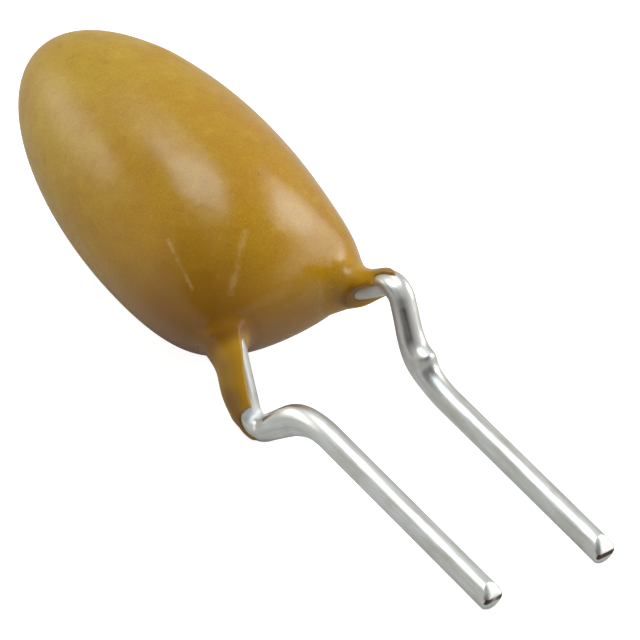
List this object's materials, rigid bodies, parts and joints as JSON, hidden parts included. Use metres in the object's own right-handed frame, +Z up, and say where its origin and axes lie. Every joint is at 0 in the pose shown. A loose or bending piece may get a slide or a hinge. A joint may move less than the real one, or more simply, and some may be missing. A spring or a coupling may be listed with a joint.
{
  "type": "tantalum capacitor",
  "caption": "Dipped tantalum bead capacitor: a drop-shaped epoxy bead on radial wire leads, each kinked out of the lead plane, with cut ends for soldering.",
  "frame": {"origin": "middle of the part's box, on the surface that it lies on", "axes": "+X from the bead towards the lead tips, along the surface; +Y across the leads from the cathode lead to the anode lead; +Z up"},
  "size_m": [0.015, 0.0044, 0.0045],
  "materials": {
    "epoxy": "satin",
    "tinned_wire": "satin",
    "sintered_tantalum": "matte",
    "tantalum_wire": "satin",
    "weld_metal": "matte",
    "fluoropolymer": "matte",
    "manganese_dioxide": "matte",
    "graphite": "matte",
    "silver_paint": "matte",
    "solder": "satin"
  },
  "bodies": {
    "root": {"epoxy_coating": "epoxy", "anode_lead": "tinned_wire", "cathode_lead": "tinned_wire", "anode_pellet": "sintered_tantalum", "riser_wire": "tantalum_wire", "riser_weld": "weld_metal", "insulating_washer": "fluoropolymer", "manganese_dioxide_layer": "manganese_dioxide", "graphite_layer": "graphite", "silver_layer": "silver_paint", "cathode_solder": "solder"}
  },
  "joints": []
}
